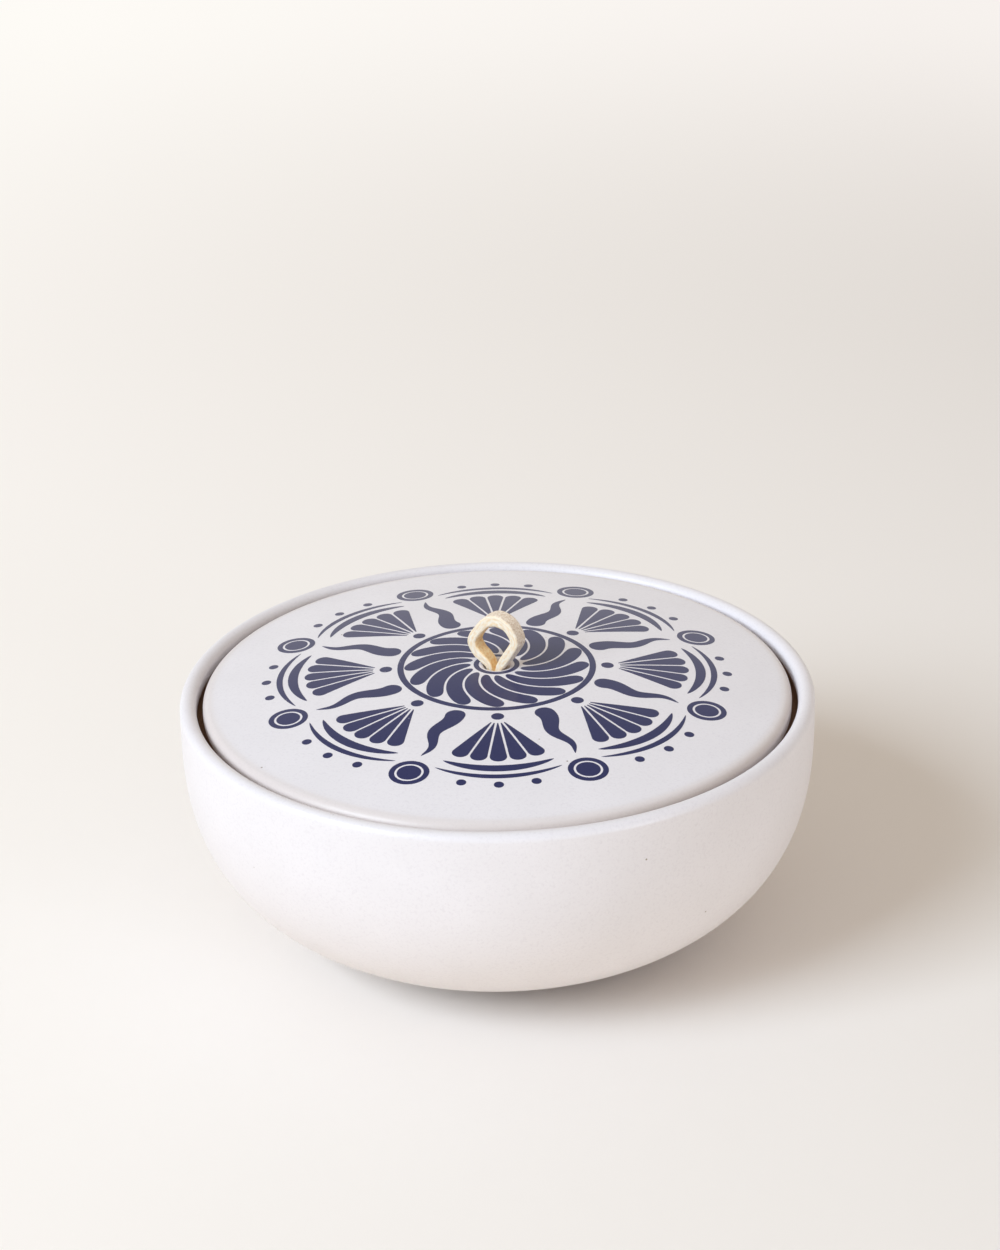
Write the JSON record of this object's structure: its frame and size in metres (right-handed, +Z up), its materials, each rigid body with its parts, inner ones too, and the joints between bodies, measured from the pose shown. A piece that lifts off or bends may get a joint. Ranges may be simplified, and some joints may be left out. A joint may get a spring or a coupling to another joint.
{
  "type": "trinket box",
  "caption": "Round white stoneware box: a deep bowl on a small foot, with a shallow domed lid set inside the rim and lifted by a knotted leather loop.",
  "frame": {"origin": "centre of the foot, on the surface the box stands on", "axes": "+Z up along the axis of the bowl, the lid and the hole; +X across the flat of the pull's loop, +Y through its eye"},
  "size_m": [0.152, 0.152, 0.0813],
  "materials": {
    "satin_glaze": "white satin-matt glaze on stoneware, navy print on the lid",
    "natural_leather": "undyed cut lace, napped outer face"
  },
  "bodies": {
    "bowl": {"bowl": "satin_glaze"},
    "lid": {"lid": "satin_glaze"},
    "pull": {"pull_lace": "natural_leather"}
  },
  "joints": [
    {"name": "lid_lift", "type": "slide", "parent": "bowl", "child": "lid", "axis": [0, 0, 1], "range_m": [0, 0.06]},
    {"name": "pull_turn", "type": "hinge", "parent": "lid", "child": "pull", "pos_m": [0, 0, 0.0678], "axis": [0, 0, 1], "continuous": true}
  ]
}
